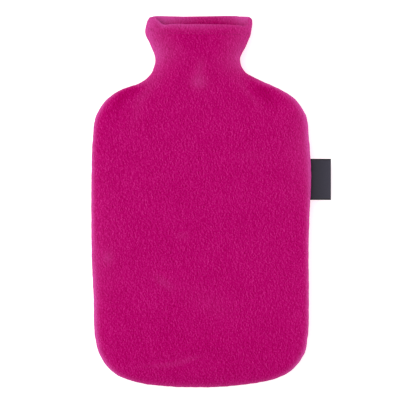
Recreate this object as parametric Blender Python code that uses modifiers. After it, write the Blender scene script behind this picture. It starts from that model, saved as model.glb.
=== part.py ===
"""Fleece cover for a two-litre hot water bottle, lying on its back in the shape it has when worn.

Two cut panels meet at a seam that runs from one corner of the mouth, round the bottom, to the other.
A folded woven label stands out of the seam on the right. Tables and sizes are in millimetres:
"up" is the distance from the bottom seam towards the mouth, and the model is placed in metres.
"""

import math
from collections import namedtuple

import bmesh
import bpy
import numpy as np

MM = 0.001

# ---- driving sizes, in millimetres -------------------------------------------------------------
SEAM_HEIGHT = 20.0      # the seam's plane over the surface that the back lies on
MIDDLE_UP = 170.0       # the height on the cover that lies over the origin
CLOTH = 2.6             # one layer of fleece
HEM_CLOTH = 4.0         # the mouth's hem, where the fleece is turned in
HEM_DEPTH = 10.0
PIECE_GAP = 0.3         # between one piece and the next
SEAM_BAND = 1.5         # upright strip of each panel beside the seam
EDGE_ROUND = 0.9
FLOOR_BLEND = 1.5       # how softly the back's curve meets its flat resting patch
MOUTH_UP = 332.0        # the mouth's edge before its own curve is added
MOUTH_REACH = 24.0      # how far below the edge the mouth's curve fades out

LABEL_FOOT_UP = 172.0   # the label's lower edge
LABEL_WIDE = 37.5       # along the seam
LABEL_OUT = 18.6        # from the seam to the fold
LABEL_LAYER = 0.7
LABEL_GAP = 0.5         # between the label's two layers
LABEL_DROOP = 1.2       # the fold hangs this far below the seam

RING_COUNT = 11         # steps from the seam to the middle line
SIDE_STEPS = 44         # steps along each side, from the hem to the middle of the bottom

# A rib runs from the seam, left and right of the middle line, to the height middle_up on that line.
# rise and drop are the panels' heights over and under the seam there; fullness is the exponent of
# the cross-section's curve: 2 is an ellipse, and more is squarer.
Rib = namedtuple("Rib", "up left right middle_up rise drop front_fullness back_fullness")
RIBS = (
    Rib(332.0, 50.2, 47.0, 332.0, 16.0, 13.6, 2.4, 2.4),   # mouth
    Rib(326.5, 51.0, 46.5, 326.0, 15.6, 13.4, 2.3, 2.3),   # widest part of the flare
    Rib(314.0, 45.9, 41.5, 313.5, 15.0, 13.2, 2.1, 2.1),
    Rib(300.4, 41.9, 35.8, 299.0, 15.6, 13.8, 2.1, 2.1),   # waist of the neck
    Rib(290.0, 44.6, 40.6, 284.0, 16.8, 15.2, 2.2, 2.2),
    Rib(282.0, 52.8, 53.6, 262.0, 18.4, 18.0, 2.5, 2.6),   # root of the neck
    Rib(273.3, 73.2, 73.5, 238.0, 19.6, 20.6, 2.8, 3.0),   # shoulder
    Rib(263.8, 87.2, 87.2, 219.0, 20.2, 22.0, 3.0, 3.3),
    Rib(249.0, 96.0, 96.3, 204.0, 20.6, 22.6, 3.1, 3.5),
    Rib(226.8, 99.1, 99.2, 191.0, 20.8, 23.0, 3.0, 3.6),
    Rib(190.0, 100.4, 101.1, 169.0, 21.0, 23.0, 2.9, 3.6),
    Rib(153.0, 100.5, 99.4, 146.0, 21.0, 23.0, 2.8, 3.5),
    Rib(116.4, 100.0, 98.8, 122.0, 20.8, 23.0, 2.8, 3.5),
    Rib(79.6, 98.3, 99.1, 99.0, 20.6, 23.0, 2.8, 3.6),
    Rib(46.0, 96.7, 98.0, 82.0, 20.2, 22.8, 2.8, 3.6),
    Rib(24.4, 89.8, 91.0, 70.0, 19.8, 22.6, 2.7, 3.5),     # bottom corners
    Rib(9.7, 74.1, 73.0, 61.0, 19.4, 22.4, 2.6, 3.3),
    Rib(2.6, 47.0, 43.5, 56.0, 19.2, 22.2, 2.6, 3.2),
    Rib(0.0, 0.0, 0.0, 53.0, 19.0, 22.2, 2.6, 3.2),        # middle of the bottom seam
)

# The mouth's two edges, from the left corner (-1) to the right one (1).
MouthPoint = namedtuple("MouthPoint", "across front_up back_up")
MOUTH = (
    MouthPoint(-1.00, 331.6, 331.6),
    MouthPoint(-0.97, 331.9, 335.4),
    MouthPoint(-0.93, 332.1, 338.8),
    MouthPoint(-0.86, 332.3, 341.0),
    MouthPoint(-0.75, 332.4, 341.5),
    MouthPoint(-0.35, 332.7, 341.0),
    MouthPoint(0.00, 332.8, 341.3),
    MouthPoint(0.50, 332.2, 341.7),
    MouthPoint(0.84, 331.9, 341.5),
    MouthPoint(0.93, 332.2, 341.0),
    MouthPoint(0.98, 333.0, 339.4),
    MouthPoint(1.00, 333.6, 333.6),
)

# Soft forms of the front where the cloth is drawn over what it holds: a ridge has a positive
# height and a trough a negative one. turn is the angle of the form's long axis from the cross axis.
Form = namedtuple("Form", "across up long wide turn height")
FRONT_FORMS = (
    Form(-2.0, 284.0, 9.0, 8.0, 0.0, 1.3),        # bulge at the foot of the neck
    Form(-24.0, 277.0, 30.0, 6.5, 68.0, 1.2),     # ridges drawn from the neck over the shoulders
    Form(27.0, 276.0, 27.0, 6.5, -58.0, 1.3),
    Form(55.0, 264.0, 19.0, 8.0, -34.0, -1.7),    # hollows beside the neck
    Form(-56.0, 262.0, 20.0, 8.0, 38.0, -1.3),
    Form(-8.0, 36.0, 42.0, 5.0, 7.0, 0.9),        # edge of the form inside, over the bottom seam
    Form(62.0, 44.0, 26.0, 8.0, -30.0, -1.0),
    Form(-36.0, 102.0, 16.0, 5.0, -32.0, 0.7),    # short slack ridge, lower left
)

FLEECE_COLOUR = (0.474, 0.004, 0.141, 1.0)
LABEL_COLOUR = (0.046, 0.042, 0.058, 1.0)


def smooth_curve(knots, values, at):
    """Values of a smooth curve through (knots, values), with each knot's slope that of its neighbours."""
    knots, values, at = (np.asarray(list(a), float) for a in (knots, values, at))
    slopes = np.gradient(values, knots)
    k = np.clip(np.searchsorted(knots, at, side="right") - 1, 0, len(knots) - 2)
    step = knots[k + 1] - knots[k]
    t = (at - knots[k]) / step
    return (
        values[k] * (1 + 2 * t) * (1 - t) ** 2
        + slopes[k] * step * t * (1 - t) ** 2
        + values[k + 1] * t**2 * (3 - 2 * t)
        + slopes[k + 1] * step * t**2 * (t - 1)
    )


def fade(x):
    """0 below 0, 1 above 1, and smooth in between."""
    x = np.clip(x, 0.0, 1.0)
    return x * x * (3 - 2 * x)


def soft_floor(value, limit, blend):
    """value held at limit, with a rounded corner of size blend; exactly limit once past it."""
    corner = np.clip(blend - np.abs(value - limit), 0.0, None) / blend
    return np.minimum(value, limit) - corner**2 * blend / 4


def rib_distances():
    """How far each rib of the table is along the seam from the mouth, taken midway between the sides."""
    half_width = [(rib.left + rib.right) / 2 for rib in RIBS]
    steps = [
        math.hypot(half_width[k + 1] - half_width[k], RIBS[k + 1].up - RIBS[k].up)
        for k in range(len(RIBS) - 1)
    ]
    return np.concatenate([[0.0], np.cumsum(steps)])


def read_ribs(column, at):
    """A column of the rib table as a smooth curve, mirrored past the middle of the bottom seam."""
    distances = rib_distances()
    values = [getattr(rib, column) for rib in RIBS]
    mirrored = {"left": "right", "right": "left"}.get(column, column)
    sign = -1.0 if column in ("left", "right") else 1.0
    past = [sign * getattr(RIBS[-2], mirrored)]
    knots = np.append(distances, 2 * distances[-1] - distances[-2])
    return smooth_curve(knots, values + past, at)


def seam_steps():
    """Distances along the seam, from the mouth to the middle of the bottom, closer together at the hem."""
    whole = rib_distances()[-1]
    hem = [0.0, 3.0, 6.5, HEM_DEPTH, HEM_DEPTH + 3.0]
    return np.concatenate([hem, np.linspace(hem[-1], whole, SIDE_STEPS + 1)[1:]])


def mouth_shift(across, up, front):
    """How far the mouth's own curve moves a point along the cover; nothing below MOUTH_REACH."""
    edge = [p.front_up if front else p.back_up for p in MOUTH]
    moved = np.interp(across, [p.across for p in MOUTH], edge) - MOUTH_UP
    return moved * fade(1 - (MOUTH_UP - up) / MOUTH_REACH)


def form_height(x, up):
    """Sum of the front's ridges and troughs at a point."""
    total = np.zeros_like(x)
    for form in FRONT_FORMS:
        turn = math.radians(form.turn)
        dx, dy = x - form.across, up - form.up
        along = dx * math.cos(turn) + dy * math.sin(turn)
        beside = dy * math.cos(turn) - dx * math.sin(turn)
        total += form.height * np.exp(-((along / form.long) ** 2) - (beside / form.wide) ** 2)
    return total


def side_points(at, side, front):
    """Points of one half of a panel: a row for each step along the seam, a column for each ring."""
    column = "left" if side < 0 else "right"
    seam_x = side * read_ribs(column, at)
    seam_up = read_ribs("up", at)
    middle_x = (read_ribs("right", at) - read_ribs("left", at)) / 2
    middle_up = read_ribs("middle_up", at)
    fullness = read_ribs("front_fullness" if front else "back_fullness", at)
    height = read_ribs("rise" if front else "drop", at)

    # The first ring repeats the seam's plan, for the upright strip; the others follow the curve.
    angles = np.linspace(0.0, math.pi / 2, RING_COUNT + 1)
    out = np.cos(angles)[None, :].clip(0) ** (2 / fullness[:, None])
    high = np.sin(angles)[None, :] ** (2 / fullness[:, None])
    out = np.concatenate([out[:, :1], out], axis=1)
    lift = SEAM_BAND + (height[:, None] - SEAM_BAND) * high
    lift = np.concatenate([np.zeros_like(lift[:, :1]), lift], axis=1)

    x = middle_x[:, None] + (seam_x - middle_x)[:, None] * out
    up = middle_up[:, None] + (seam_up - middle_up)[:, None] * out
    if front:
        z = SEAM_HEIGHT + PIECE_GAP / 2 + lift
        z = z + form_height(x, up) * fade(lift / height[:, None] * 1.6)
    else:
        deepest = SEAM_HEIGHT - PIECE_GAP / 2
        z = deepest - soft_floor(lift, deepest, FLOOR_BLEND)
    up = up + mouth_shift(side * out, up, front)
    return np.stack([x, up - MIDDLE_UP, z], axis=-1) * MM


def fleece():
    """Magenta fleece, brushed: matt, with a soft sheen at grazing angles."""
    return plain_material("brushed fleece", FLEECE_COLOUR, 0.95)


def plain_material(name, colour, roughness):
    material = bpy.data.materials.new(name)
    material.use_nodes = True
    shader = material.node_tree.nodes["Principled BSDF"]
    shader.inputs["Base Color"].default_value = colour
    shader.inputs["Roughness"].default_value = roughness
    shader.inputs["Metallic"].default_value = 0.0
    return material


def add_bevel(obj, width):
    bevel = obj.modifiers.new("rounded edges", "BEVEL")
    bevel.width = width
    bevel.segments = 2
    bevel.limit_method = "ANGLE"
    bevel.angle_limit = math.radians(50)


def hem_group(obj, rows, rings):
    """Marks the hem, where the Solidify is thicker: the steps nearest the mouth on both sides."""
    group = obj.vertex_groups.new(name="hem")
    hem_rows = [r for r in range(len(rows)) if rows[r] <= HEM_DEPTH]
    last = 2 * (len(rows) - 1)
    columns = hem_rows + [last - r for r in hem_rows]
    group.add([ring * (last + 1) + c for ring in range(rings) for c in columns], 1.0, "REPLACE")


def make_panel(name, front, material, collection):
    """One panel: a grid wrapped from the left mouth corner, round the bottom, to the right one."""
    at = seam_steps()
    left, right = side_points(at, -1, front), side_points(at, 1, front)
    columns = np.concatenate([left, right[-2::-1]])           # the bottom's middle step is shared
    column_count, ring_count = columns.shape[:2]
    bpy.ops.mesh.primitive_grid_add(x_subdivisions=column_count - 1, y_subdivisions=ring_count - 1)
    obj = bpy.context.object
    obj.name = obj.data.name = name
    obj.data.vertices.foreach_set("co", columns.transpose(1, 0, 2).ravel())
    hem_group(obj, at, ring_count)

    # The inmost ring doubles back along the middle line, so its two halves are joined there.
    mesh = bmesh.new()
    mesh.from_mesh(obj.data)
    mesh.verts.ensure_lookup_table()
    inmost = [mesh.verts[(ring_count - 1) * column_count + c] for c in range(column_count)]
    bmesh.ops.remove_doubles(mesh, verts=inmost, dist=0.01 * MM)
    if not front:
        bmesh.ops.reverse_faces(mesh, faces=mesh.faces)
    mesh.to_mesh(obj.data)
    mesh.free()

    thick = obj.modifiers.new("cloth", "SOLIDIFY")
    thick.thickness = HEM_CLOTH * MM
    thick.vertex_group = "hem"
    thick.thickness_vertex_group = CLOTH / HEM_CLOTH
    thick.offset = -1.0
    thick.use_even_offset = True
    add_bevel(obj, EDGE_ROUND * MM)
    obj.data.shade_smooth()
    finish_piece(obj, material, collection)


def make_label(material, collection):
    """A woven ribbon folded in two, its fold outwards and its two ends at the seam."""
    fold_radius = LABEL_GAP / 2 + LABEL_LAYER / 2
    straight = LABEL_OUT - fold_radius - LABEL_LAYER / 2
    run = np.linspace(0.0, straight, 7)
    turn = np.linspace(-math.pi / 2, math.pi / 2, 9)[1:-1]
    section = (
        [(x, -fold_radius) for x in run]
        + [(straight + fold_radius * math.cos(a), fold_radius * math.sin(a)) for a in turn]
        + [(x, fold_radius) for x in run[::-1]]
    )
    rows = np.linspace(LABEL_FOOT_UP, LABEL_FOOT_UP + LABEL_WIDE, 5)
    seam_at = np.interp(rows, [rib.up for rib in RIBS[::-1]], rib_distances()[::-1])
    root = read_ribs("right", seam_at) + PIECE_GAP
    outer_edge = root.max() + LABEL_OUT

    bpy.ops.mesh.primitive_grid_add(x_subdivisions=len(section) - 1, y_subdivisions=len(rows) - 1)
    obj = bpy.context.object
    obj.name = obj.data.name = "label"
    for index, vertex in enumerate(obj.data.vertices):
        row, step = divmod(index, len(section))
        x, z = section[step]
        share = x / LABEL_OUT
        along = root[row] + (outer_edge - root[row]) * share
        droop = LABEL_DROOP * share**2
        vertex.co = (along * MM, (rows[row] - MIDDLE_UP) * MM, (SEAM_HEIGHT + z - droop) * MM)
    thick = obj.modifiers.new("layer", "SOLIDIFY")
    thick.thickness = LABEL_LAYER * MM
    thick.offset = 0.0
    obj.data.shade_smooth()
    finish_piece(obj, material, collection)


def finish_piece(obj, material, collection):
    obj.data.materials.append(material)
    for owner in list(obj.users_collection):
        owner.objects.unlink(obj)
    collection.objects.link(obj)


def main():
    for obj in list(bpy.data.objects):
        bpy.data.objects.remove(obj)
    collection = bpy.data.collections.new("hot water bottle cover")
    bpy.context.scene.collection.children.link(collection)
    cloth = fleece()
    make_panel("front_panel", True, cloth, collection)
    make_panel("back_panel", False, cloth, collection)
    make_label(plain_material("woven label", LABEL_COLOUR, 0.6), collection)


main()
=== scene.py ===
import math

import bmesh
import bpy
import mathutils
import numpy as np
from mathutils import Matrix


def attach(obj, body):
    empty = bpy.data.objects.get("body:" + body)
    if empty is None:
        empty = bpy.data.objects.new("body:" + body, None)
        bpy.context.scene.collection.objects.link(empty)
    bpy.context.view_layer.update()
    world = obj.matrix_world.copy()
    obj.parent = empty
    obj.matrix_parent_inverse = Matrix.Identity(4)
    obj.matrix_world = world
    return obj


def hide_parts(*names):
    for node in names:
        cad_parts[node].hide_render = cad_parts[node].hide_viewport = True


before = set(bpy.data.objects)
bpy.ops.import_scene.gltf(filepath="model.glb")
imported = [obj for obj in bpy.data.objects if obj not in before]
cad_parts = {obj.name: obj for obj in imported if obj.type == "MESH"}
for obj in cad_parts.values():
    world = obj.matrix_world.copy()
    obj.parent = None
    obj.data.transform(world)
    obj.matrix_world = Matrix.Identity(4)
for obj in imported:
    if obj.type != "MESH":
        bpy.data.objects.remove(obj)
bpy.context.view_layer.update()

mm = 0.001
bandScale = 0.314               # a wave texture of scale 1 has its bands this far apart
scene = bpy.context.scene
scene.view_settings.view_transform = "Standard"     # colours as the camera of a catalogue shows them
bpy.ops.object.select_all(action="DESELECT")

# Camera straight above the cover, far enough off that its sides stay out of sight.
view = {
    "place": (-0.0008, 0.0016, 1.78),
    "lens": 172.5,              # takes in 368 mm at the height of the seam
    "sensor": 36.0,
}
bpy.ops.object.camera_add(location=view["place"], rotation=(0, 0, 0))
camera = bpy.context.object
camera.name = "camera"
camera.data.lens = view["lens"]
camera.data.sensor_width = view["sensor"]
camera.data.dof.use_dof = False
scene.camera = camera
print("camera placed")


def hexColour(code):            # sRGB hex to the linear colour that a shader reads
    parts = [int(code[i:i + 2], 16) / 255 for i in (1, 3, 5)]
    return tuple(p / 12.92 if p <= 0.04045 else ((p + 0.055) / 1.055) ** 2.4 for p in parts) + (1.0,)


def addNode(tree, kind, links=None, **settings):    # a node, its settings and what feeds it
    node = tree.nodes.new(kind)
    for name, value in settings.items():
        if name in node.inputs:
            node.inputs[name].default_value = value
        else:
            setattr(node, name, value)
    for socket, source in (links or {}).items():
        tree.links.new(source, node.inputs[socket])
    return node


def startMaterial(name):
    material = bpy.data.materials.new(name)
    material.use_nodes = True
    tree = material.node_tree
    tree.nodes.clear()
    return material, tree


# Brushed polyester fleece: a knit whose loops are raised, sheared and tumbled. The short curled pile
# stands in small tufts, so it looks matt and mottled, and it turns pale where the eye meets it edge on.
# Paler pile on the sides and darker pile in the hollows are painted on as well, as painted sheen and
# painted shade.
fleeceLook = {
    "tip": "#D82A8C",           # ends of the pile
    "pile": "#BB006B",
    "root": "#A0004D",          # between the tufts
    "paintedSheen": "#D64CA0",          # painted sheen, the pale pile on the lit sides and the mouth's fold
    "tuft": 0.75,               # mm across a tuft
    "lay": 1.4,                 # tufts are this much longer along the brushing than across it
    "stroke": 1.9,              # mm, the short strokes that the brushing leaves along the cover
    "wale": 2.8,                # mm between them, as the knit's wales come through the pile
    "fuzz": 0.6,                # mm, the finest curl of the pile that the render can carry
    "patch": 16.0,              # mm across the patches that the hand leaves in the pile
    "relief": 0.55,             # mm from root to tip, as bump
    "sheen": 0.1,
    "sheenRough": 0.3,
    "sheenTint": "#D8AAFF",
    "strokeShare": 0.5,         # how much the strokes count beside the tufts
    "fuzzShare": 0.3,
    "contrast": (0.36, 0.64),   # the heights of the pile that read as root and as tip
    "patchShade": 0.035,        # how far a patch lightens or darkens it
    "sheenOnTufts": (0.6, 1.4),    # the painted sheen shows less between the tufts and more on them
}


def brushedFleece():
    material, tree = startMaterial("brushed_fleece")
    look = fleeceLook
    place = addNode(tree, "ShaderNodeTexCoord").outputs["Object"]
    laid = addNode(tree, "ShaderNodeMapping", {"Vector": place}, Scale=(look["lay"], 1.0, look["lay"]))
    tufts = addNode(tree, "ShaderNodeTexNoise", {"Vector": laid.outputs["Vector"]},
                    Scale=1 / (look["tuft"] * look["lay"] * mm), Detail=2.0, Roughness=0.5,
                    Distortion=0.8)
    strokes = addNode(tree, "ShaderNodeTexGabor", {"Vector": place}, gabor_type="3D",
                      Scale=1 / (look["stroke"] * mm), Frequency=look["stroke"] / look["wale"],
                      Anisotropy=0.9)
    strokes.inputs[5].default_value = (1, 0, 0)         # it swings from side to side of the cover
    fuzz = addNode(tree, "ShaderNodeTexNoise", {"Vector": place},
                   Scale=1 / (look["fuzz"] * mm), Detail=1.0)
    patch = addNode(tree, "ShaderNodeTexNoise", {"Vector": place},
                    Scale=1 / (look["patch"] * mm), Detail=2.0)
    lofts = addNode(tree, "ShaderNodeMix", {"A": tufts.outputs["Fac"], "B": strokes.outputs["Value"]},
                    Factor=look["strokeShare"])
    pile = addNode(tree, "ShaderNodeMix", {"A": lofts.outputs["Result"], "B": fuzz.outputs["Fac"]},
                   Factor=look["fuzzShare"])
    low, high = look["contrast"]
    spread = addNode(tree, "ShaderNodeMapRange", {"Value": pile.outputs["Result"]},
                     **{"From Min": low, "From Max": high})
    worn = addNode(tree, "ShaderNodeMapRange", {"Value": patch.outputs["Fac"]},
                   **{"From Min": 0.3, "From Max": 0.7,
                      "To Min": -look["patchShade"], "To Max": look["patchShade"]})
    # The mesh's attribute holds painted light: above 0 painted sheen, below 0 painted shade.
    paintedLightValue = addNode(tree, "ShaderNodeAttribute", attribute_name="paintedLight").outputs["Fac"]
    # below 0 it is painted shade, which moves the pile towards its root colour
    paintedShade = addNode(tree, "ShaderNodeMath", {0: paintedLightValue}, operation="MINIMUM")
    paintedShade.inputs[1].default_value = 0.0
    patchesAndPaintedShade = addNode(tree, "ShaderNodeMath", {0: worn.outputs["Result"], 1: paintedShade.outputs["Value"]},
                     operation="ADD")
    shade = addNode(tree, "ShaderNodeMath", {0: spread.outputs["Result"], 1: patchesAndPaintedShade.outputs["Value"]},
                    operation="ADD", use_clamp=True)
    pileColour = addNode(tree, "ShaderNodeValToRGB", {"Fac": shade.outputs["Value"]})
    ramp = pileColour.color_ramp
    ramp.elements.new(0.5)
    for stop, name in zip(ramp.elements, ("root", "pile", "tip")):
        stop.color = hexColour(look[name])
    # Painted sheen: the pile's colour is mixed towards the pale sheen colour, more on the tufts.
    least, most = look["sheenOnTufts"]
    share = addNode(tree, "ShaderNodeMapRange", {"Value": spread.outputs["Result"]},
                    **{"To Min": least, "To Max": most})
    paintedLightLevel = addNode(tree, "ShaderNodeMath", {0: paintedLightValue, 1: share.outputs["Result"]},
                      operation="MULTIPLY", use_clamp=True)
    colour = addNode(tree, "ShaderNodeMix", {"Factor": paintedLightLevel.outputs["Value"]}, data_type="RGBA")
    tree.links.new(pileColour.outputs["Color"], colour.inputs[6])
    colour.inputs[7].default_value = hexColour(look["paintedSheen"])
    bump = addNode(tree, "ShaderNodeBump", {"Height": pile.outputs["Result"]},
                   Strength=1.0, Distance=look["relief"] * mm)
    shader = addNode(tree, "ShaderNodeBsdfPrincipled",
                     {"Base Color": colour.outputs[2], "Normal": bump.outputs["Normal"]},
                     Roughness=0.95, IOR=1.45,
                     **{"Specular IOR Level": 0.02, "Sheen Weight": look["sheen"],
                        "Sheen Roughness": look["sheenRough"],
                        "Sheen Tint": hexColour(look["sheenTint"])})
    addNode(tree, "ShaderNodeOutputMaterial", {"Surface": shader.outputs["BSDF"]})
    return material


# Satin-woven polyester ribbon: fine warp threads run out from the seam to the fold and carry a faint
# shine; the selvedges along both sides are woven tighter, so they read darker.
ribbonLook = {
    "warp": "#242131",
    "weft": "#181522",
    "fold": "#3A3746",          # painted highlight round the fold
    "selvedge": "#141218",
    "rib": 0.55,                # mm between ribs; real picks are 0.2 mm, drawn coarser so that they show
    "pick": 1.6,                # the picks across are this much further apart
    "pickShare": 0.35,
    "highlightFrom": 103.5,          # mm from the middle line, where the painted highlight begins
    "highlightTo": 120.0,
    "relief": 0.12,             # mm
    "shine": 0.35,
}


def wovenRibbon():
    material, tree = startMaterial("satin_woven_ribbon")
    look = ribbonLook
    place = addNode(tree, "ShaderNodeTexCoord").outputs["Object"]
    split = addNode(tree, "ShaderNodeSeparateXYZ", {"Vector": place})
    ribs = addNode(tree, "ShaderNodeTexWave", {"Vector": place}, wave_type="BANDS", bands_direction="Y",
                   Scale=bandScale / (look["rib"] * mm), Distortion=0.4, Detail=1.0)
    picks = addNode(tree, "ShaderNodeTexWave", {"Vector": place}, wave_type="BANDS", bands_direction="X",
                    Scale=bandScale / (look["rib"] * look["pick"] * mm), Distortion=0.6, Detail=1.0)
    cloth = addNode(tree, "ShaderNodeMix", {"A": ribs.outputs["Fac"], "B": picks.outputs["Fac"]},
                    Factor=look["pickShare"])
    middle = (label["foot"] + label["wide"] / 2 - cover["middleUp"]) * mm
    across = addNode(tree, "ShaderNodeMath", {0: split.outputs["Y"]}, operation="SUBTRACT")
    across.inputs[1].default_value = middle
    away = addNode(tree, "ShaderNodeMath", {0: across.outputs["Value"]}, operation="ABSOLUTE")
    edge = addNode(tree, "ShaderNodeMapRange", {"Value": away.outputs["Value"]}, **{
        "From Min": (label["wide"] / 2 - 1.6) * mm, "From Max": (label["wide"] / 2 - 1.0) * mm})
    threads = addNode(tree, "ShaderNodeMix", {"Factor": cloth.outputs["Result"]}, data_type="RGBA")
    threads.inputs[6].default_value = hexColour(look["weft"])
    threads.inputs[7].default_value = hexColour(look["warp"])
    # Painted highlight: the colour turns paler towards the fold.
    out = addNode(tree, "ShaderNodeMapRange", {"Value": split.outputs["X"]},
                  **{"From Min": look["highlightFrom"] * mm, "From Max": look["highlightTo"] * mm})
    foldHighlight = addNode(tree, "ShaderNodeMix", {"Factor": out.outputs["Result"]}, data_type="RGBA")
    tree.links.new(threads.outputs[2], foldHighlight.inputs[6])
    foldHighlight.inputs[7].default_value = hexColour(look["fold"])
    colour = addNode(tree, "ShaderNodeMix", {"Factor": edge.outputs["Result"]}, data_type="RGBA")
    tree.links.new(foldHighlight.outputs[2], colour.inputs[6])
    colour.inputs[7].default_value = hexColour(look["selvedge"])
    bump = addNode(tree, "ShaderNodeBump", {"Height": cloth.outputs["Result"]},
                   Strength=0.7, Distance=look["relief"] * mm)
    shader = addNode(tree, "ShaderNodeBsdfPrincipled",
                     {"Base Color": colour.outputs[2], "Normal": bump.outputs["Normal"]},
                     Roughness=0.5, **{"Specular IOR Level": look["shine"], "Sheen Weight": 0.15})
    addNode(tree, "ShaderNodeOutputMaterial", {"Surface": shader.outputs["BSDF"]})
    return material


# Spun polyester sewing thread: two plies twisted together, smooth beside the pile, so it reads as a
# closed line of the same pink with a faint shine on each ply.
threadLook = {
    "ply": "#C41C7C",
    "between": "#A00A5E",
    "twist": 0.6,               # mm from ply to ply; real ones are 0.3 mm, drawn coarser to show
    "relief": 0.08,             # mm
    "shine": 0.2,
}


def twistedThread():
    material, tree = startMaterial("twisted_polyester_thread")
    look = threadLook
    place = addNode(tree, "ShaderNodeTexCoord").outputs["Object"]
    plies = addNode(tree, "ShaderNodeTexWave", {"Vector": place}, wave_type="BANDS",
                    bands_direction="DIAGONAL", Scale=bandScale / (look["twist"] * mm),
                    Distortion=0.5, Detail=1.0)
    colour = addNode(tree, "ShaderNodeMix", {"Factor": plies.outputs["Fac"]}, data_type="RGBA")
    colour.inputs[6].default_value = hexColour(look["between"])
    colour.inputs[7].default_value = hexColour(look["ply"])
    bump = addNode(tree, "ShaderNodeBump", {"Height": plies.outputs["Fac"]},
                   Strength=0.6, Distance=look["relief"] * mm)
    shader = addNode(tree, "ShaderNodeBsdfPrincipled",
                     {"Base Color": colour.outputs[2], "Normal": bump.outputs["Normal"]},
                     Roughness=0.6, **{"Specular IOR Level": look["shine"]})
    addNode(tree, "ShaderNodeOutputMaterial", {"Surface": shader.outputs["BSDF"]})
    return material


# The cover's shape, in millimetres: the CAD solids' tables, refined a little all round and most at the
# mouth. A rib runs from the seam to the height middleUp on the middle line; rise and drop are the two
# panels' heights there.
cover = {
    "seamHeight": 20.0,
    "middleUp": 170.0,
    "seamBand": 1.5,
    "floorBlend": 1.5,
    "mouthUp": 332.0,
    "mouthReach": 24.0,
    # up, left, right, middleUp, rise, drop, frontFullness, backFullness
    "ribs": (
        (332.0, 46.3, 47.1, 332.0, 16.0, 13.6, 1.9, 2.1),
        (326.5, 49.7, 47.1, 326.0, 15.6, 13.4, 1.95, 2.1),
        (320.5, 51.2, 45.9, 320.0, 15.2, 13.3, 2.0, 2.1),
        (314.0, 46.9, 42.4, 313.5, 15.0, 13.2, 2.1, 2.1),
        (300.4, 41.9, 36.1, 299.0, 15.6, 13.8, 2.1, 2.1),
        (290.0, 44.4, 39.8, 284.0, 16.8, 15.2, 2.2, 2.2),
        (282.0, 51.2, 53.4, 262.0, 18.4, 18.0, 2.5, 2.6),
        (277.6, 59.2, 63.0, 249.0, 19.0, 19.4, 2.65, 2.8),
        (273.3, 71.9, 72.4, 238.0, 19.6, 20.6, 2.8, 3.0),
        (263.8, 86.3, 86.6, 219.0, 20.2, 22.0, 3.0, 3.3),
        (249.0, 96.0, 96.3, 204.0, 20.6, 22.6, 3.1, 3.5),
        (226.8, 99.1, 99.2, 191.0, 20.8, 23.0, 3.0, 3.6),
        (190.0, 100.4, 101.1, 169.0, 21.0, 23.0, 2.9, 3.6),
        (153.0, 100.5, 99.4, 146.0, 21.0, 23.0, 2.8, 3.5),
        (116.4, 100.0, 98.8, 122.0, 20.8, 23.0, 2.8, 3.5),
        (79.6, 98.3, 99.1, 99.0, 20.6, 23.0, 2.8, 3.6),
        (46.0, 97.0, 98.0, 82.0, 20.2, 22.8, 2.8, 3.6),
        (32.5, 94.0, 95.6, 75.0, 20.0, 22.7, 2.75, 3.55),
        (24.0, 89.6, 90.9, 70.0, 19.8, 22.6, 2.7, 3.5),
        (15.0, 82.2, 82.7, 64.5, 19.6, 22.5, 2.65, 3.4),
        (9.2, 73.3, 72.3, 61.0, 19.4, 22.4, 2.6, 3.3),
        (6.4, 65.5, 64.2, 59.1, 19.35, 22.35, 2.6, 3.25),
        (3.8, 56.6, 50.8, 57.2, 19.3, 22.3, 2.6, 3.2),
        (0.85, 32.4, 26.0, 54.5, 19.1, 22.2, 2.6, 3.2),
        (-0.25, 0.0, 0.0, 53.0, 19.0, 22.2, 2.6, 3.2),
    ),
    # the mouth's two edges: across (-1 is the left corner), frontUp, backUp
    "mouth": (
        (-1.00, 340.7, 340.7), (-0.96, 340.4, 341.5), (-0.92, 339.3, 341.8), (-0.87, 337.4, 341.9),
        (-0.82, 335.0, 341.9), (-0.775, 333.0, 341.9), (-0.71, 332.0, 341.8), (-0.62, 332.5, 341.7),
        (-0.50, 332.6, 341.6), (-0.35, 332.1, 341.4), (0.00, 331.9, 341.7), (0.50, 331.6, 341.8),
        (0.70, 331.2, 341.5), (0.76, 331.1, 341.0), (0.86, 330.9, 340.7), (0.91, 331.4, 340.6),
        (0.955, 333.2, 340.4), (0.985, 336.2, 339.8), (1.00, 338.7, 338.7),
    ),
    # soft forms of the front: across, up, long, wide, turn, height
    "forms": (
        (-2.0, 284.0, 9.0, 8.0, 0.0, 1.3), (-24.0, 277.0, 30.0, 6.5, 68.0, 1.2),
        (27.0, 276.0, 27.0, 6.5, -58.0, 1.3), (55.0, 264.0, 19.0, 8.0, -34.0, -1.7),
        (-56.0, 262.0, 20.0, 8.0, 38.0, -1.3), (-8.0, 36.0, 42.0, 5.0, 7.0, 0.9),
        (62.0, 44.0, 26.0, 8.0, -30.0, -1.0), (-36.0, 102.0, 16.0, 5.0, -32.0, 0.7),
    ),
}
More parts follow.
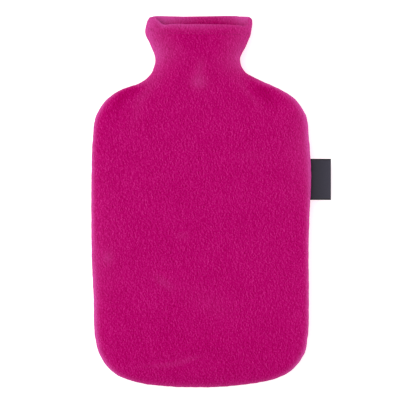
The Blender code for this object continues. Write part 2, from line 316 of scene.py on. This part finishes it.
# How each panel is cut and sewn.
panel = {
    "cloth": 2.6,               # one layer of fleece
    "hem": 4.0,                 # where it is turned in
    "stitchAt": 9.0,            # the hem's stitches, below the rim
    "rawEdge": 11.0,            # where the turned-in cloth ends inside
    "seamGap": 0.1,             # between the two panels
    "seamRoll": 1.3,            # the sewn edge draws in from the outline
    "rollHeight": 1.7,
    "step": 1.27,               # size of the mesh's faces along the seam
    "rings": 80,
    "puckerDepth": 0.16,
    "nap": 0.3,                 # mm, tufts in the mesh itself
    "tuft": 2.3,                # mm across them
    "drape": 0.45,              # mm, the slow unevenness of the cloth
    "drapeWide": 30,
    "spreadOver": 16.0,         # mm round the middle line's end
    "spreadSteps": 1500,
    "hemRows": 14.0,            # mm of closer rows below the rim
    "hemStep": 0.62,
    "walkSteps": 320,           # steps that measure a cross-section
    "firstRings": (0.0, 0.45, 0.95, 1.5, 2.2),      # mm in from the seam; the others follow evenly
    "otherRings": 3.0,
    "rawEdgeFade": 1.2,
    "grooveDepth": 0.3,
    "grooveWide": 0.75,
    "puffHigh": 0.2,
    "puffAt": 5.0,
    "puffWide": 2.4,
    "puckers": ((1.0, 1.45, 1), (0.8, 2.3, 2), (0.7, 3.9, 1)),      # share, length, times the turn
    "puckerAt": 3.0,            # mm in from the seam
    "puckerWide": 3.6,
    "backTurn": 1.9,            # so that the two panels' puckers differ
    "foldSteps": 9,             # round the mouth's fold
}
label = {
    "foot": 171.6,
    "wide": 37.9,
    "out": 18.2,
    "layer": 0.45,
    "gap": 0.25,
    "droop": 1.2,
    "inSeam": 1.1,              # its ends reach this far in past the outline
    "root": 0.3,                # the seam's lips stand out past the outline
    "squeeze": 0.35,            # pressed together where it is sewn in, and over how many mm
    "squeezeOver": 3.0,
    "bead": 0.10,               # the selvedges' thicker edge, over the outer share of the width
    "beadFrom": 0.93,
    "beadOver": 0.05,
    "wave": 0.25,
    "waveLong": 9.0,
    "sharp": 50,                # degrees, edges bent more than this stay sharp
    "runSteps": 34,
    "bendSteps": 11,
    "rows": 61,
    "lips": 0.42,               # the seam's lips part by this much round it
    "lipsHigh": 5.0,
    "lipsBeyond": 3.5,
    "lipsFade": 4,
}
# Painted sheen on the cover's sides, the pale pile colour painted in where the sides catch the light, by
# the height along the cover: how strongly and over how many millimetres in from the seam, on the left
# and then on the right, and how much is left further in.
paintedLight = (
    (341.0, 0.87, 10.0, 0.78, 8.5, 0.0, 0.0), (321.0, 0.87, 10.5, 0.46, 12.0, 0.0, 0.0),
    (307.0, 0.9, 9.0, 0.64, 6.5, 0.0, 0.02), (294.0, 0.57, 6.0, 0.41, 8.0, 0.0, 0.02),
    (284.0, 0.33, 5.5, 0.24, 6.0, 0.0, 0.01), (274.0, 0.92, 1.1, 1.38, 1.2, 0.01, 0.0),
    (261.0, 1.25, 1.0, 0.95, 1.9, 0.0, 0.01), (245.0, 1.30, 1.1, 1.00, 2.3, 0.0, 0.07),
    (224.0, 1.00, 1.2, 1.18, 2.6, 0.01, 0.10), (151.0, 1.05, 1.15, 0.93, 1.3, 0.05, 0.01),
    (116.0, 0.64, 2.4, 0.78, 1.1, 0.08, 0.01), (79.0, 1.45, 1.65, 0.98, 1.1, 0.05, 0.02),
    (50.0, 1.70, 1.5, 0.93, 1.1, 0.02, 0.03), (31.0, 1.35, 1.3, 1.15, 1.4, 0.04, 0.02),
    (15.0, 1.2, 1.4, 1.15, 1.3, 0.01, 0.0), (4.5, 0.55, 1.8, 0.55, 1.7, 0.0, 0.0),
    (0.0, 0.32, 1.8, 0.32, 1.8, 0.0, 0.0),
)
# Painted highlights, and painted shade below 0, on the front: across, up, long, wide, turn, strength.
paintedHighlightsAndShade = (
    (-2.0, 279.0, 7.0, 6.0, 0.0, 0.27), (-1.0, 291.0, 9.0, 4.0, 80.0, 0.12),
    (-85.0, 119.0, 6.0, 4.5, 80.0, 0.17), (-34.0, 97.0, 9.0, 4.0, -35.0, 0.13),
    (-16.0, 139.0, 4.5, 3.5, 0.0, 0.08), (-37.0, 21.0, 22.0, 3.0, 4.0, 0.08),
    (-12.0, 26.5, 20.0, 3.2, 15.0, 0.12), (-58.0, 252.0, 17.0, 4.0, 76.0, 0.05),
    (44.0, 268.0, 18.0, 3.5, -48.0, 0.07), (-48.0, 272.0, 16.0, 5.0, 47.0, 0.09),
    (10.0, 75.0, 24.0, 11.0, -24.0, 0.045), (47.0, 212.0, 14.0, 4.0, 0.0, 0.04),
    (-74.0, 262.0, 14.0, 5.0, 52.0, -0.24), (-62.0, 272.0, 9.0, 5.0, 15.0, -0.12),
    (56.0, 271.0, 15.0, 6.0, -45.0, -0.26), (-3.0, 318.0, 26.0, 12.0, 0.0, -0.06),
    (0.0, 36.0, 75.0, 26.0, 0.0, -0.05),
)
# Painted sheen along the mouth's fold: across, on the front's fold, on the back's, inside the back, and
# how dark the line of painted shadow below that is.
rimPaintedLight = (
    (-1.00, 0.84, 0.85, 2.40, 0.00), (-0.75, 0.78, 0.90, 2.30, 0.00), (-0.55, 0.66, 0.90, 1.35, 0.18),
    (-0.30, 0.57, 0.85, 0.85, 0.26), (0.00, 0.53, 0.80, 0.38, 0.26), (0.30, 0.34, 0.80, 0.32, 0.24),
    (0.60, 0.28, 0.90, 0.80, 0.18), (0.80, 0.38, 0.90, 1.70, 0.04), (1.00, 0.48, 0.85, 2.30, 0.00),
)
# How the painted sheen and painted shade fade, in millimetres.
fading = {
    "further": 20.0,            # in from the seam
    "most": 0.9,
    "fold": 4.2,                # down from the mouth's fold, outside
    "foldPower": 1.6,
    "leastFold": 0.02,
    "inside": 4.5,              # down inside
    "shadowLineAt": 7.5,           # the line of painted shadow inside, below the fold
    "shadowLineWide": 2.6,
}
columnNames = ("up", "left", "right", "middleUp", "rise", "drop", "frontFullness", "backFullness")


def smoothCurve(knots, values, at):     # a smooth curve through the table's values
    knots, values, at = (np.asarray(a, float) for a in (knots, values, at))
    slopes = np.gradient(values, knots)
    k = np.clip(np.searchsorted(knots, at, side="right") - 1, 0, len(knots) - 2)
    step = knots[k + 1] - knots[k]
    t = (at - knots[k]) / step
    return (values[k] * (1 + 2 * t) * (1 - t) ** 2 + slopes[k] * step * t * (1 - t) ** 2
            + values[k + 1] * t ** 2 * (3 - 2 * t) + slopes[k + 1] * step * t ** 2 * (t - 1))


def fade(x):
    x = np.clip(x, 0.0, 1.0)
    return x * x * (3 - 2 * x)


ribTable = np.array(cover["ribs"])
ribGaps = np.hypot(np.diff((ribTable[:, 1] + ribTable[:, 2]) / 2), np.diff(ribTable[:, 0]))
ribAt = np.concatenate([[0.0], np.cumsum(ribGaps)])     # how far each rib is along the seam


def ribColumn(name, at):        # past the middle of the bottom, left and right change places
    values = ribTable[:, columnNames.index(name)]
    beyond = {"left": -ribTable[-2, 2], "right": -ribTable[-2, 1]}.get(name, values[-2])
    return smoothCurve(np.append(ribAt, 2 * ribAt[-1] - ribAt[-2]), np.append(values, beyond), at)


def seamRows():                 # closer together in the hem, then even
    hem = np.arange(panel["hem"] / 2, panel["hemRows"], panel["hemStep"])
    count = int((ribAt[-1] - hem[-1]) / panel["step"])
    count += (len(hem) + count + 1) % 2     # an even number, as the inside has half as many
    return np.concatenate([hem, np.linspace(hem[-1], ribAt[-1], count + 1)[1:]])


def turned(dx, dy, turn):       # along and beside a direction, for a turn in degrees
    turn = math.radians(turn)
    return dx * math.cos(turn) + dy * math.sin(turn), dy * math.cos(turn) - dx * math.sin(turn)


def softForms(x, up):
    total = np.zeros_like(x)
    for across, at, long, wide, turn, height in cover["forms"]:
        along, beside = turned(x - across, up - at, turn)
        total += height * np.exp(-(along / long) ** 2 - (beside / wide) ** 2)
    return total


# Half of a panel's outer face: rows along the seam, and rings inwards from it.
def sideSurface(at, side, front):
    seamX = side * ribColumn("left" if side < 0 else "right", at)
    seamUp, midUp = ribColumn("up", at), ribColumn("middleUp", at)
    midX = (ribColumn("right", at) - ribColumn("left", at)) / 2
    full = ribColumn("frontFullness" if front else "backFullness", at)
    high = ribColumn("rise" if front else "drop", at)
    band, gap = cover["seamBand"], panel["seamGap"] / 2
    u = np.linspace(0.0, 1.0, panel["walkSteps"])
    firstRings = np.array(panel["firstRings"])
    out, lift = np.empty((len(at), panel["rings"])), np.empty((len(at), panel["rings"]))
    for row in range(len(at)):  # an even walk along each cross-section, closer at the seam
        o = 1 - u ** 3
        h = band + (high[row] - band) * np.clip(1 - o ** full[row], 0, None) ** (1 / full[row])
        o, h = np.append(1.0, o), np.append(0.0, h)
        reach = math.hypot(seamX[row] - midX[row], seamUp[row] - midUp[row])
        walk = np.concatenate([[0.0], np.cumsum(np.hypot(np.diff(o) * reach, np.diff(h)))])
        evenRings = np.linspace(panel["otherRings"], walk[-1], panel["rings"] - len(firstRings))
        stops = np.concatenate([firstRings, evenRings])
        out[row], lift[row] = np.interp(stops, walk, o), np.interp(stops, walk, h)
    x = midX[:, None] + (seamX - midX)[:, None] * out
    up = midUp[:, None] + (seamUp - midUp)[:, None] * out
    if front:
        z = cover["seamHeight"] + gap + lift + softForms(x, up) * fade(lift / high[:, None] * 1.6)
    else:
        deepest, blend = cover["seamHeight"] - gap, cover["floorBlend"]
        corner = np.clip(blend - np.abs(lift - deepest), 0.0, None) / blend
        z = deepest - (np.minimum(lift, deepest) - corner ** 2 * blend / 4)
    rim = np.array(cover["mouth"])
    moved = np.interp(side * out, rim[:, 0], rim[:, 1 if front else 2]) - cover["mouthUp"]
    up = up + moved * fade(1 - (cover["mouthUp"] - up) / cover["mouthReach"])
    return np.stack([x, up - cover["middleUp"], z], axis=-1), lift


def unit(vectors):
    length = np.linalg.norm(vectors, axis=-1, keepdims=True)
    return np.where(length > 1e-9, vectors / np.maximum(length, 1e-9), (0.0, 0.0, 1.0))


def panelSurface(front):
    at = seamRows()
    left, leftLift = sideSurface(at, -1, front)
    right, rightLift = sideSurface(at, 1, front)
    outer = np.concatenate([left, right[-2::-1]])
    lift = np.concatenate([leftLift, rightLift[-2::-1]])
    walk = np.concatenate([at, at[-2::-1]])             # distance from the nearer mouth corner
    normal = unit(np.cross(np.gradient(outer, axis=0), np.gradient(outer, axis=1)))
    # the middle line's end has no slope
    normal = np.where(normal[..., 2:] < -0.2, (0.0, 0.0, 1.0), normal)
    normal[:, -1] = unit(normal[:, -1] + normal[::-1, -1])
    return outer, normal if front else -normal, lift, walk


def spreadOut(mesh, end):       # evens out the columns, which crowd and cross at the middle line's end
    work = bmesh.new()
    work.from_mesh(mesh)
    near = [v for v in work.verts
            if math.hypot(v.co.x / mm - end[0], v.co.y / mm - end[1]) < panel["spreadOver"]]
    for _ in range(panel["spreadSteps"]):
        bmesh.ops.smooth_vert(work, verts=near, factor=0.5,
                              use_axis_x=True, use_axis_y=True, use_axis_z=True)
    work.to_mesh(mesh)
    work.free()


def shapeCloth(front):          # a panel's outer and inner face
    outer, normal, lift, walk = panelSurface(front)
    rim = walk[:, None]                                 # distance below the rim, for each point
    turnedIn = fade((panel["rawEdge"] - rim) / panel["rawEdgeFade"] + 0.5)
    thick = panel["cloth"] + (panel["hem"] - panel["cloth"]) * turnedIn
    inner = outer - normal * thick[..., None] * np.ones_like(lift)[..., None]
    inner[..., 2] = np.maximum(inner[..., 2], cover["seamHeight"] + panel["seamGap"] / 2) if front \
        else np.minimum(inner[..., 2], cover["seamHeight"] - panel["seamGap"] / 2)

    # The hem's stitches pull a groove into the cloth, and the fold puffs a little above them.
    groove = -panel["grooveDepth"] * np.exp(-((rim - panel["stitchAt"]) / panel["grooveWide"]) ** 2)
    puff = panel["puffHigh"] * np.exp(-((rim - panel["puffAt"]) / panel["puffWide"]) ** 2)
    level = (groove + puff) * fade((lift - 1.0) / 3.0)

    # The seam draws small uneven puckers into the cloth beside it.
    steps = np.linalg.norm(np.diff(outer[:, 0], axis=0), axis=-1)
    along = np.concatenate([[0.0], np.cumsum(steps)])[:, None]
    turn = 0.0 if front else panel["backTurn"]
    ripple = sum(share * np.sin(along / length + times * turn)
                 for share, length, times in panel["puckers"])
    ripple = panel["puckerDepth"] * ripple / sum(share for share, length, times in panel["puckers"])
    near = np.linalg.norm(outer - outer[:, :1], axis=-1)
    level = level + ripple * np.exp(-((near - panel["puckerAt"]) / panel["puckerWide"]) ** 2)
    outer = outer + normal * level[..., None]

    # The sewn edge rolls in to the seam.
    low = np.clip(1 - lift / panel["rollHeight"], 0.0, 1.0)
    flat = normal * (1.0, 1.0, 0.0)
    outer = outer - unit(flat) * (panel["seamRoll"] * (1 - np.sqrt(1 - low ** 2)))[..., None]

    # The lips of the seam part where the label comes out between them.
    y, beyond = outer[..., 1], label["lipsBeyond"]
    foot = label["foot"] - cover["middleUp"]
    head = label["foot"] + label["wide"] - cover["middleUp"]
    there = (fade((y - foot + beyond) / label["lipsFade"])
             * fade((head + beyond - y) / label["lipsFade"]) * (outer[..., 0] > 0))
    parted = label["lips"] * there * fade(1 - lift / label["lipsHigh"]) * (1 if front else -1)
    outer[..., 2] += parted
    inner[..., 2] += parted
    return outer, inner, lift, walk


# The panel's points: the outer face, a half-round fold along the mouth, and the inner face with half as
# many columns. Both halves share the middle line.
def layPoints(outer, inner):
    columns, rings = outer.shape[:2]
    points, number = [], np.full((columns, rings), -1)
    inside = np.full((columns, rings), -1)
    for grid, face, step in ((number, outer, 1), (inside, inner, 2)):
        for c in range(0, columns, step):
            for r in range(rings):
                if r == rings - 1 and c > columns // 2:
                    grid[c, r] = grid[columns - 1 - c, r]
                else:
                    grid[c, r] = len(points)
                    points.append(face[c, r])
    folds, foldSteps = [], panel["foldSteps"]
    for c, inward in ((0, 1), (columns - 1, -1)):
        ahead = unit(outer[c] - outer[c + inward])
        centre, spoke = (outer[c] + inner[c]) / 2, (outer[c] - inner[c]) / 2
        size = np.linalg.norm(spoke, axis=-1, keepdims=True)
        rows = [number[c]]
        for k in range(1, foldSteps):
            a = math.pi * k / foldSteps
            row = np.arange(len(points), len(points) + rings)
            fresh = list(centre + spoke * math.cos(a) + ahead * size * math.sin(a))
            if folds:                                   # it ends in the other half's last point
                row[-1] = folds[0][k][-1]
                fresh.pop()
            points.extend(fresh)
            rows.append(row)
        rows.append(inside[c])
        folds.append(rows)
    return points, number, inside, folds


def patch(grid, c, d, r):       # a quad, or at the middle line's end two triangles that meet in that end
    columns, rings = grid.shape
    corners = grid[c, r], grid[d, r], grid[d, r + 1], grid[c, r + 1]
    if r < rings - 2 or columns // 2 not in (c, d):
        return [corners]
    end = 2 if d == columns // 2 else 3
    return [(corners[end], corners[(end + k) % 4], corners[(end + k + 1) % 4]) for k in (1, 2)]


def layFaces(number, inside, folds):
    columns, rings = number.shape
    faces = []
    for c in range(columns - 1):
        for r in range(rings - 1):
            faces += patch(number, c, c + 1, r)
    for c in range(0, columns - 1, 2):
        for r in range(rings - 1):
            faces += [face[::-1] for face in patch(inside, c, c + 2, r)]
        o, i = number[:, 0], inside[:, 0]
        faces += [(o[c + 1], o[c], i[c]), (o[c + 1], i[c], i[c + 2]), (o[c + 2], o[c + 1], i[c + 2])]
    for rows, leftSide in zip(folds, (True, False)):
        for a, b in zip(rows[:-1], rows[1:]):
            for r in range(rings - 1):
                quad = (a[r], a[r + 1], b[r + 1], b[r])
                faces.append(quad if leftSide else quad[::-1])
        cap = [row[0] for row in rows]
        faces.append(cap if leftSide else cap[::-1])
    return faces


def paintSheenAndShade(mesh, front, outer, rim, number, inside, folds):   # paints sheen and shade on the pile, for the fleece
    table, rimTable = np.array(paintedLight)[::-1], np.array(rimPaintedLight)
    seamUp = outer[:, :1, 1] + cover["middleUp"]
    inFrom = np.linalg.norm((outer - outer[:, :1])[..., :2], axis=-1)
    onRight = outer[:, :1, 0] > 0
    strength, reach, further = (np.where(onRight, np.interp(seamUp, table[:, 0], table[:, right]),
                                         np.interp(seamUp, table[:, 0], table[:, left]))
                                for left, right in ((1, 3), (2, 4), (5, 6)))
    # Painted sheen on the sides, fading in from the seam.
    sides = strength * np.exp(-inFrom / reach) + further * np.exp(-(inFrom / fading["further"]) ** 2)
    sides = np.minimum(sides, fading["most"])
    across = outer[..., 0] / np.where(outer[..., 0] < 0, cover["ribs"][0][1], cover["ribs"][0][2])
    across = np.clip(across, -1, 1)
    rimSheen = np.interp(across, rimTable[:, 0], rimTable[:, 1 if front else 2])
    if front:
        # Painted highlights, and painted shade below 0, on the front.
        for x, up, long, wide, turn, amount in paintedHighlightsAndShade:
            ahead, beside = turned(outer[..., 0] - x, outer[..., 1] + cover["middleUp"] - up, turn)
            sides = sides + amount * np.exp(-(ahead / long) ** 2 - (beside / wide) ** 2)
    # Painted sheen down from the mouth's fold.
    foldHighlight = rimSheen * np.exp(-(rim / fading["fold"]) ** fading["foldPower"])
    paintedLightLevel = np.where(foldHighlight > fading["leastFold"], np.maximum(sides, foldHighlight), sides)
    # Inside the back: painted sheen below the fold, then a line of painted shadow.
    insideSheenAndShade = np.interp(across, rimTable[:, 0], rimTable[:, 1 if front else 3])
    paintedShade = np.interp(across, rimTable[:, 0], rimTable[:, 4])
    insideSheenAndShade = insideSheenAndShade * np.exp(-rim / fading["inside"])
    insideSheenAndShade = insideSheenAndShade - paintedShade * np.exp(-((rim - fading["shadowLineAt"]) / fading["shadowLineWide"]) ** 2)
    values, columns = np.zeros(len(mesh.vertices)), len(number)
    values[number] = paintedLightLevel
    values[inside[::2]] = insideSheenAndShade[::2]
    for c, rows in zip((0, columns - 1), folds):
        for k in range(1, panel["foldSteps"]):
            values[rows[k]] = rimSheen[c] + (insideSheenAndShade[c] - rimSheen[c]) * (k / panel["foldSteps"]) ** 3
    mesh.attributes.new("paintedLight", "FLOAT", "POINT").data.foreach_set("value", values)


def raiseTufts(piece, front, outer, lift, number):      # in the mesh, fading out beside the seam
    weight = piece.vertex_groups.new(name="pile")
    amount = fade((lift - 1.2) / 3.0)
    if not front:
        amount = amount * fade(outer[..., 2] / 3.0)     # pressed flat where it lies on the table
    steps = np.round(amount * 10).astype(int)
    for level in range(1, 11):
        weight.add([int(i) for i in np.unique(number[steps == level])], level / 10, "REPLACE")
    grain = bpy.data.textures.new(piece.name + "_tufts", "CLOUDS")
    grain.noise_scale, grain.noise_depth = panel["tuft"] * mm, 1
    drape = bpy.data.textures.new(piece.name + "_drape", "CLOUDS")
    drape.noise_scale, drape.noise_depth = panel["drapeWide"] * mm, 1
    bpy.ops.object.select_all(action="DESELECT")
    bpy.context.view_layer.objects.active = piece
    piece.select_set(True)
    for texture, strength in ((drape, panel["drape"]), (grain, panel["nap"])):
        lifted = piece.modifiers.new(texture.name, "DISPLACE")
        lifted.texture, lifted.texture_coords = texture, "LOCAL"
        lifted.strength, lifted.mid_level, lifted.vertex_group = strength * mm, 0.5, "pile"
        bpy.ops.object.modifier_apply(modifier=lifted.name)


def makePanel(name, front):
    outer, inner, lift, walk = shapeCloth(front)
    points, number, inside, folds = layPoints(outer, inner)
    columns, faces = len(outer), layFaces(number, inside, folds)
    faces = [[int(i) for i in (face if front else face[::-1])] for face in faces]
    mesh = bpy.data.meshes.new(name)
    mesh.from_pydata([tuple(p * mm) for p in np.array(points)], [], faces)
    spreadOut(mesh, outer[columns // 2, -1])
    piece = bpy.data.objects.new(name, mesh)
    scene.collection.objects.link(piece)
    mesh.shade_smooth()
    print(name, len(mesh.vertices), "points", "closed" if closed(mesh) else "OPEN")
    paintSheenAndShade(mesh, front, outer, walk[:, None], number, inside, folds)
    raiseTufts(piece, front, outer, lift, number)

    # The line that the hem's stitches follow, from seam to seam: points and the way out of the cloth.
    hem = int(np.argmin(np.abs(walk[:columns // 2] - panel["stitchAt"])))
    line = [int(i) for i in np.append(number[hem], number[columns - 1 - hem][-2::-1])]
    return piece, np.array([(*mesh.vertices[i].co, *mesh.vertices[i].normal) for i in line])


def closed(mesh):
    check = bmesh.new()
    check.from_mesh(mesh)
    whole = all(e.is_manifold and e.is_contiguous for e in check.edges)
    solid = check.calc_volume(signed=True)
    check.free()
    return whole and solid > 0


frontPanel, frontHem = makePanel("front_panel_cloth", True)
backPanel, backHem = makePanel("back_panel_cloth", False)

# The hem's lockstitches, in matching thread, drawn down into the pile.
stitch = {
    "long": 2.5,                # mm
    "pitch": 3.4,               # mm from one to the next
    "thread": 0.42,
    "proud": 0.12,              # its middle above the groove
    "fromSeam": 4.5,            # the first one, from the side seam
    "sides": 7,
    "end": 0.27,                # its end's radius and how far that is sunk, each a share of the thread
    "sunk": 1.2,
    "lookAhead": 1.2,           # mm, for the line's direction
    # one stitch from end to end: ahead, up and size, each a share of the stitch's length or the thread
    "sections": ((0.06, 0.5, 1.6), (0.14, 0.5, 1.15), (0.30, 0.2, 1.0), (0.30, -0.2, 1.0),
                 (0.14, -0.5, 0.87), (0.06, -0.5, 0.62)),
}


def makeStitch():               # it lies along x, its ends down in the cloth
    half, thread = stitch["long"] / 2 * mm, stitch["thread"] * mm
    x, z = -half, -thread * stitch["sunk"]
    bpy.ops.object.select_all(action="DESELECT")
    bpy.ops.mesh.primitive_circle_add(vertices=stitch["sides"], radius=thread * stitch["end"],
                                      fill_type="NGON", location=(x, 0, z), rotation=(0, math.pi / 2, 0))
    bpy.ops.object.transform_apply(location=True, rotation=True, scale=True)
    bpy.ops.object.mode_set(mode="EDIT")
    bpy.ops.mesh.select_all(action="SELECT")
    for ahead, up, size in stitch["sections"]:
        step = (ahead * stitch["long"] * mm, 0, up * thread)
        x, z = x + step[0], z + step[2]
        bpy.ops.mesh.extrude_region_move(TRANSFORM_OT_translate={"value": step})
        bpy.ops.transform.resize(value=(1, size, size), center_override=(x, 0, z))
    bpy.ops.mesh.select_all(action="SELECT")
    bpy.ops.mesh.normals_make_consistent(inside=False)
    bpy.ops.object.mode_set(mode="OBJECT")
    bpy.ops.object.shade_smooth()
    return bpy.context.object


def sewHem(name, line):         # copies of the stitch, set along the line and joined
    points, ways = line[:, :3], line[:, 3:]
    walked = np.concatenate([[0.0], np.cumsum(np.linalg.norm(np.diff(points, axis=0), axis=1))])
    count = int((walked[-1] - 2 * stitch["fromSeam"] * mm) / (stitch["pitch"] * mm))
    middle = walked[-1] / 2
    first = makeStitch()
    copies, further = [], stitch["lookAhead"] * mm
    for k in range(count):
        at = middle + (k - (count - 1) / 2) * stitch["pitch"] * mm
        spot, ahead, behind, way = (np.array([np.interp(where, walked, values[:, i]) for i in range(3)])
                                    for where, values in ((at, points), (at + further, points),
                                                          (at - further, points), (at, ways)))
        along, out = unit(ahead - behind), unit(way)
        beside = unit(np.cross(out, along))
        out = np.cross(along, beside)
        copy = first.copy()
        copy.data = first.data.copy()
        copy.matrix_world = mathutils.Matrix(
            [[*map(float, row), float(spot[i] + out[i] * stitch["proud"] * mm)]
             for i, row in enumerate(np.stack([along, beside, out], axis=1))] + [[0, 0, 0, 1]])
        scene.collection.objects.link(copy)
        copies.append(copy)
    bpy.data.objects.remove(first)
    bpy.ops.object.select_all(action="DESELECT")
    for copy in copies:
        copy.select_set(True)
    bpy.context.view_layer.objects.active = copies[0]
    bpy.ops.object.join()
    piece = bpy.context.object
    piece.name = piece.data.name = name
    bpy.ops.object.transform_apply(location=True, rotation=True, scale=True)
    print(name, count, "stitches", "closed" if closed(piece.data) else "OPEN")
    return piece


frontStitches = sewHem("front_hem_stitches", frontHem)
backStitches = sewHem("back_hem_stitches", backHem)


def makeLabel():                # a ribbon folded in two, ends in the seam
    radius = label["gap"] / 2 + label["layer"] / 2
    straight = label["out"] - radius - label["layer"] / 2
    run = np.linspace(-label["inSeam"], straight, label["runSteps"])
    bend = np.linspace(-math.pi / 2, math.pi / 2, label["bendSteps"])[1:-1]
    section = ([(x, -radius) for x in run]
               + [(straight + radius * math.cos(a), radius * math.sin(a)) for a in bend]
               + [(x, radius) for x in run[::-1]])
    rows = np.linspace(label["foot"], label["foot"] + label["wide"], label["rows"])
    seamAt = np.interp(rows, ribTable[::-1, 0], ribAt[::-1])
    root = ribColumn("right", seamAt) + label["root"]
    outEdge = root.max() + label["out"]
    bpy.ops.mesh.primitive_grid_add(x_subdivisions=len(section) - 1, y_subdivisions=len(rows) - 1)
    piece = bpy.context.object
    piece.name = piece.data.name = "folded_label"
    for index, vertex in enumerate(piece.data.vertices):
        row, step = divmod(index, len(section))
        x, z = section[step]
        share = x / label["out"]
        along = root[row] + (outEdge - root[row]) * share
        squeeze = 1 - label["squeeze"] * fade(1 - x / label["squeezeOver"])
        edge = abs(rows[row] - label["foot"] - label["wide"] / 2) / (label["wide"] / 2)
        bead = label["bead"] * fade((edge - label["beadFrom"]) / label["beadOver"])
        bead = bead * (1 if z > 0 else -1)
        wave = label["wave"] * math.sin(rows[row] / label["waveLong"]) * share ** 2
        z = z * squeeze + bead + wave - label["droop"] * max(share, 0) ** 2
        vertex.co = (along * mm, (rows[row] - cover["middleUp"]) * mm, (cover["seamHeight"] + z) * mm)
    bpy.ops.object.select_all(action="DESELECT")
    piece.select_set(True)
    bpy.context.view_layer.objects.active = piece
    thick = piece.modifiers.new("ribbon", "SOLIDIFY")
    thick.thickness, thick.offset = label["layer"] * mm, 0.0
    bpy.ops.object.modifier_apply(modifier=thick.name)
    piece.data.shade_smooth()
    bpy.ops.object.shade_smooth_by_angle(angle=math.radians(label["sharp"]))
    print("label", len(piece.data.vertices), "points")
    return piece


foldedLabel = makeLabel()

fleece = brushedFleece()
ribbon = wovenRibbon()
thread = twistedThread()
for piece, finish, slot, node in (
    (frontPanel, fleece, "fleece", "front_panel"),
    (backPanel, fleece, "fleece", "back_panel"),
    (foldedLabel, ribbon, "woven_label", "label"),
    (frontStitches, thread, "fleece", "front_panel"),
    (backStitches, thread, "fleece", "back_panel"),
):
    piece.data.materials.clear()
    piece.data.materials.append(finish)
    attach(piece, "root")
    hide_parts(node)
print("finishes given")

# A plain pale table under even studio light.
studio = {
    "table": "#F4F2F2",
    "glow": 0.62,               # a lit table, so that no hard shadow falls on it
    "sky": 0.45,
    "speck": 300.0,
    # name, place, aim, size and W: a large lamp overhead, one over the far end, and two low ones that
    # catch the pile on the cover's sides
    "lamps": (
        ("lamp_over", (-0.7, 0.22, 2.25), (0, 0.02, 0), 1.3, 27.0),
        ("lamp_far", (0.0, 1.3, 0.7), (0, 0, 0), 0.9, 0.3),
        ("lamp_left", (-1.4, 0.0, 0.3), (0, 0, 0.02), 0.5, 2.3),
        ("lamp_right", (1.4, 0.15, 0.3), (0, 0.1, 0.02), 0.5, 4.5),
    ),
}
bpy.ops.mesh.primitive_plane_add(size=8.0)
table = bpy.context.object
table.location.z = -0.0002       # just clear of the cloth that rests on it
table.name = table.data.name = "table"
tableTop, tree = startMaterial("white_laminate")
grainPlace = addNode(tree, "ShaderNodeTexCoord").outputs["Object"]
speck = addNode(tree, "ShaderNodeTexNoise", {"Vector": grainPlace}, Scale=studio["speck"], Detail=2.0)
smooth = addNode(tree, "ShaderNodeMapRange", {"Value": speck.outputs["Fac"]},
                 **{"To Min": 0.55, "To Max": 0.7})
shader = addNode(tree, "ShaderNodeBsdfPrincipled", {"Roughness": smooth.outputs["Result"]},
                 **{"Base Color": hexColour(studio["table"]), "Emission Color": (1, 1, 1, 1),
                    "Emission Strength": studio["glow"], "Specular IOR Level": 0.2})
addNode(tree, "ShaderNodeOutputMaterial", {"Surface": shader.outputs["BSDF"]})
table.data.materials.append(tableTop)

world = bpy.data.worlds.new("studio")
scene.world = world
world.use_nodes = True
world.node_tree.nodes["Background"].inputs["Color"].default_value = (1, 1, 1, 1)
world.node_tree.nodes["Background"].inputs["Strength"].default_value = studio["sky"]


def softLamp(name, place, aim, size, power):
    bpy.ops.object.light_add(type="AREA", location=place)
    lamp = bpy.context.object
    lamp.name = name
    lamp.data.size, lamp.data.energy = size, power
    reach = np.array(aim) - np.array(place)
    lamp.rotation_euler = (math.atan2(math.hypot(reach[0], reach[1]), -reach[2]), 0,
                           math.atan2(reach[0], -reach[1]) + math.pi)
    return lamp


for lamp in studio["lamps"]:
    softLamp(*lamp)
print("table and lamps set")

bpy.context.view_layer.update()
